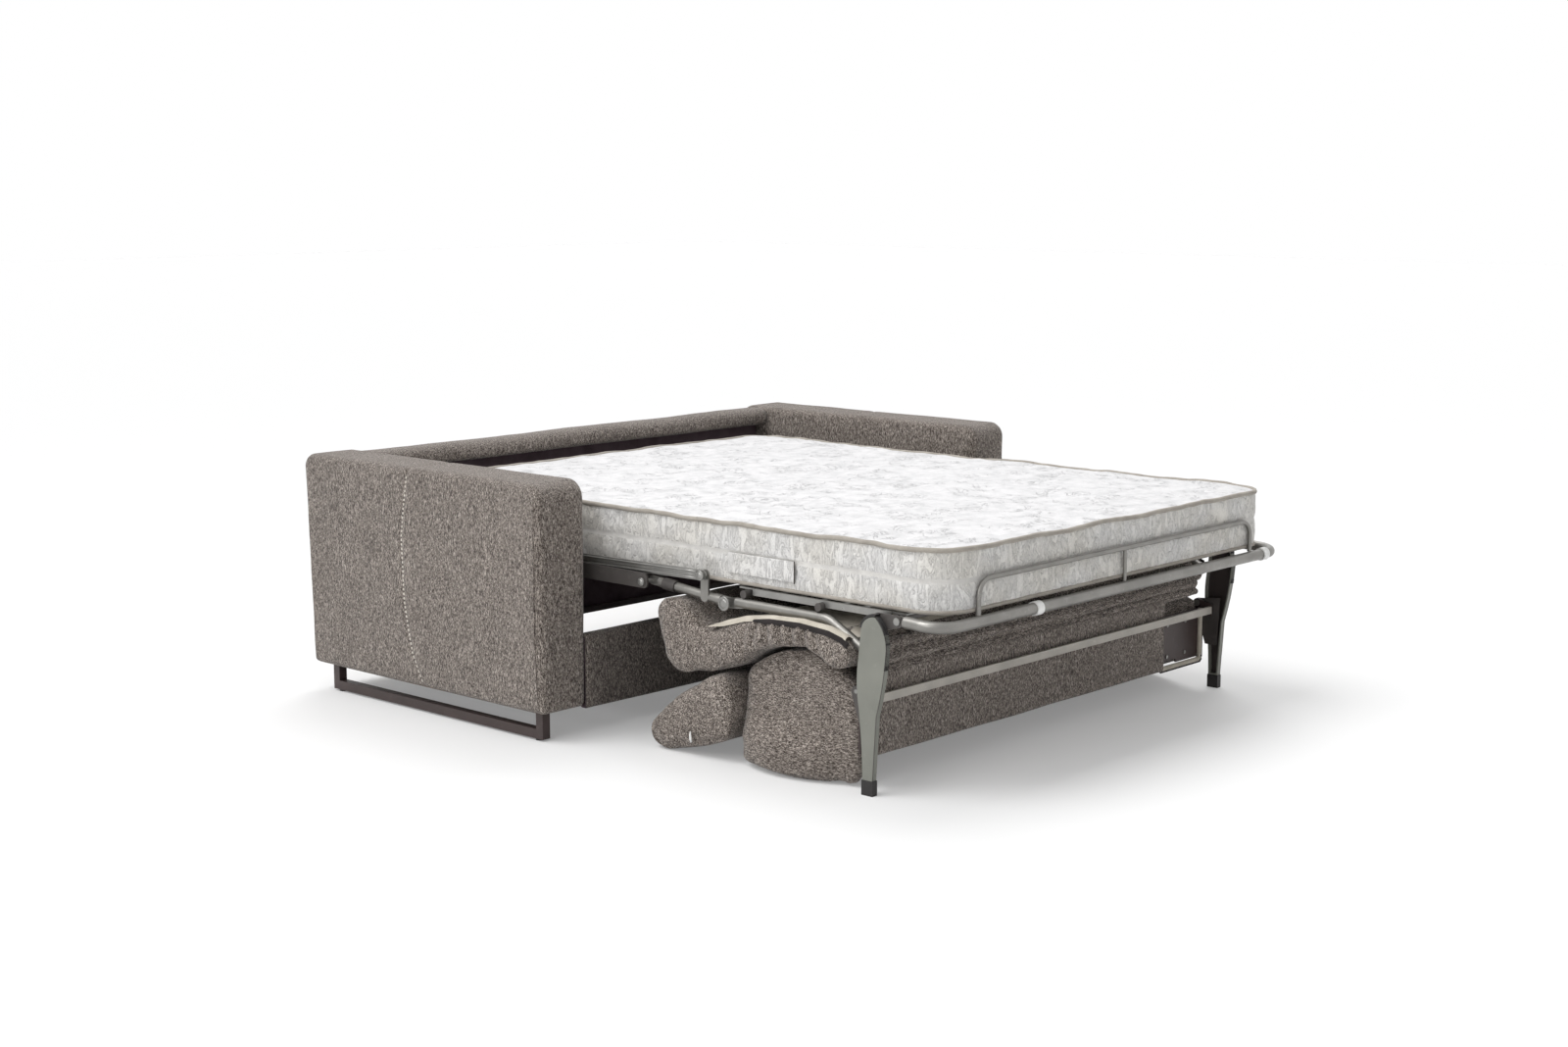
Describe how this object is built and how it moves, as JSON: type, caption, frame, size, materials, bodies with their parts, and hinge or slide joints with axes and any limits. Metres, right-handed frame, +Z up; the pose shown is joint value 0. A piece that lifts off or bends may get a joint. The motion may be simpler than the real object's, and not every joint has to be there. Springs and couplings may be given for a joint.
{
  "type": "sleeper sofa",
  "caption": "Sleeper sofa with padded arms, opened into a bed: hinged steel frame, thick mattress, curved front legs, seat and back cushions hanging under the seat section.",
  "frame": {"origin": "centre of the footprint, on the floor", "axes": "+Z up, +X across the sofa, the bed opens towards -Y"},
  "size_m": [1.92, 2.062, 0.66],
  "materials": {
    "upholstery": "melange weave",
    "cushion": "melange weave",
    "lining": "plain woven lining",
    "timber": "raw plywood and board",
    "dark_steel": "satin powder coat",
    "leg_paint": "satin powder coat",
    "pale_steel": "satin powder coat",
    "silver_steel": "silver powder coat",
    "black_plastic": "matte",
    "white_plastic": "matte",
    "foam": "foam block",
    "ticking": "quilted ticking"
  },
  "bodies": {
    "sofa_base": {"arm_cover_left": "upholstery", "arm_cover_right": "upholstery", "arm_frames": "timber", "back_cover": "upholstery", "back_lining": "lining", "back_frame": "timber", "front_rail_cover": "upholstery", "front_rail_board": "timber", "sled_leg_left": "dark_steel", "sled_leg_right": "dark_steel", "sled_pads": "black_plastic", "base_rails": "dark_steel", "base_pins": "silver_steel", "base_cross_ties": "dark_steel"},
    "front_swing": {"swing_arms_front": "dark_steel"},
    "rear_swing": {"swing_arms_rear": "dark_steel"},
    "carriage": {"carriage_rails": "dark_steel", "carriage_cross_tubes": "silver_steel", "mesh_middle": "silver_steel", "carriage_pins": "silver_steel", "mattress_core_middle": "foam", "mattress_top_middle": "ticking"},
    "head_section": {"head_frame": "silver_steel", "mesh_head": "silver_steel", "mattress_core_head": "foam", "mattress_top_head": "ticking"},
    "rear_rocker": {"rear_rockers": "dark_steel", "rocker_pins": "silver_steel"},
    "fold_link": {"fold_tube_left": "silver_steel", "fold_tube_right": "silver_steel", "fold_sleeves": "dark_steel", "riser_pins": "silver_steel", "mattress_top_fold": "ticking"},
    "upper_link": {"upper_links": "silver_steel"},
    "seat_section": {"seat_side_tube_left": "silver_steel", "seat_side_tube_right": "silver_steel", "seat_cross_tubes": "silver_steel", "bed_side_angles": "silver_steel", "mesh_seat": "silver_steel", "bed_leg_left": "leg_paint", "bed_leg_right": "leg_paint", "leg_caps": "black_plastic", "leg_seals": "black_plastic", "leg_brackets": "dark_steel", "seat_pins": "silver_steel", "seat_cushion_left": "cushion", "seat_cushion_right": "cushion", "mattress_core_foot": "foam", "mattress_top_foot": "ticking"},
    "foot_loop": {"foot_tube": "silver_steel", "tube_clips": "white_plastic", "retainer_loop": "silver_steel"},
    "backrest": {"backrest_plates": "dark_steel", "crossbar": "pale_steel", "backrest_panel": "upholstery", "plate_screws": "silver_steel", "back_cushion_left": "cushion", "back_cushion_right": "cushion"},
    "headrest": {"headrest_left": "cushion", "headrest_right": "cushion"}
  },
  "joints": [
    {"name": "bed_fold", "type": "hinge", "parent": "sofa_base", "child": "front_swing", "pos_m": [0, 0.19794, 0.19614], "axis": [-1, 0, 0], "range_deg": [0, 125.98]},
    {"name": "rear_swing_turn", "type": "hinge", "parent": "sofa_base", "child": "rear_swing", "pos_m": [0, 0.52794, 0.19614], "axis": [-1, 0, 0], "range_deg": [0, 125.98]},
    {"name": "carriage_level", "type": "hinge", "parent": "front_swing", "child": "carriage", "pos_m": [0, 0.166, 0.414], "axis": [1, 0, 0], "range_deg": [0, 125.98]},
    {"name": "head_raise", "type": "hinge", "parent": "carriage", "child": "head_section", "pos_m": [0, 0.661, 0.414], "axis": [1, 0, 0], "range_deg": [0, 90], "deforming": ["mattress_top_head", "mattress_top_middle"]},
    {"name": "rocker_turn", "type": "hinge", "parent": "carriage", "child": "rear_rocker", "pos_m": [0, 0.358, 0.406], "axis": [-1, 0, 0], "range_deg": [0, 125.98]},
    {"name": "fold_turn", "type": "hinge", "parent": "carriage", "child": "fold_link", "pos_m": [0, -0.089, 0.414], "axis": [-1, 0, 0], "range_deg": [0, 125.98], "deforming": ["mattress_top_fold"]},
    {"name": "link_turn", "type": "hinge", "parent": "fold_link", "child": "upper_link", "pos_m": [0, -0.281, 0.451], "axis": [1, 0, 0], "range_deg": [0, 125.98]},
    {"name": "seat_turn", "type": "hinge", "parent": "fold_link", "child": "seat_section", "pos_m": [0, -0.354, 0.39], "axis": [-1, 0, 0], "range_deg": [0, 54.02], "deforming": ["mattress_top_foot"]},
    {"name": "loop_fold", "type": "hinge", "parent": "seat_section", "child": "foot_loop", "pos_m": [0, -0.891, 0.417], "axis": [1, 0, 0], "range_deg": [0, 90]},
    {"name": "backrest_turn", "type": "hinge", "parent": "seat_section", "child": "backrest", "pos_m": [0, -0.769, 0.236], "axis": [-1, 0, 0], "range_deg": [0, 90]},
    {"name": "headrest_tilt", "type": "hinge", "parent": "backrest", "child": "headrest", "pos_m": [0, -0.402, 0.214], "axis": [1, 0, 0], "range_deg": [0, 20]}
  ],
  "couplings": [
    {"joint": "rear_swing_turn", "follows": "bed_fold", "ratio": 1},
    {"joint": "carriage_level", "follows": "bed_fold", "ratio": 1},
    {"joint": "head_raise", "follows": "bed_fold", "ratio": 0.71441},
    {"joint": "rocker_turn", "follows": "bed_fold", "ratio": 1},
    {"joint": "fold_turn", "follows": "bed_fold", "ratio": 1},
    {"joint": "link_turn", "follows": "bed_fold", "ratio": 1},
    {"joint": "seat_turn", "follows": "bed_fold", "ratio": 0.42882},
    {"joint": "loop_fold", "follows": "bed_fold", "ratio": 0.71441},
    {"joint": "backrest_turn", "follows": "bed_fold", "ratio": 0.71441},
    {"joint": "headrest_tilt", "follows": "bed_fold", "ratio": 0.15876}
  ]
}
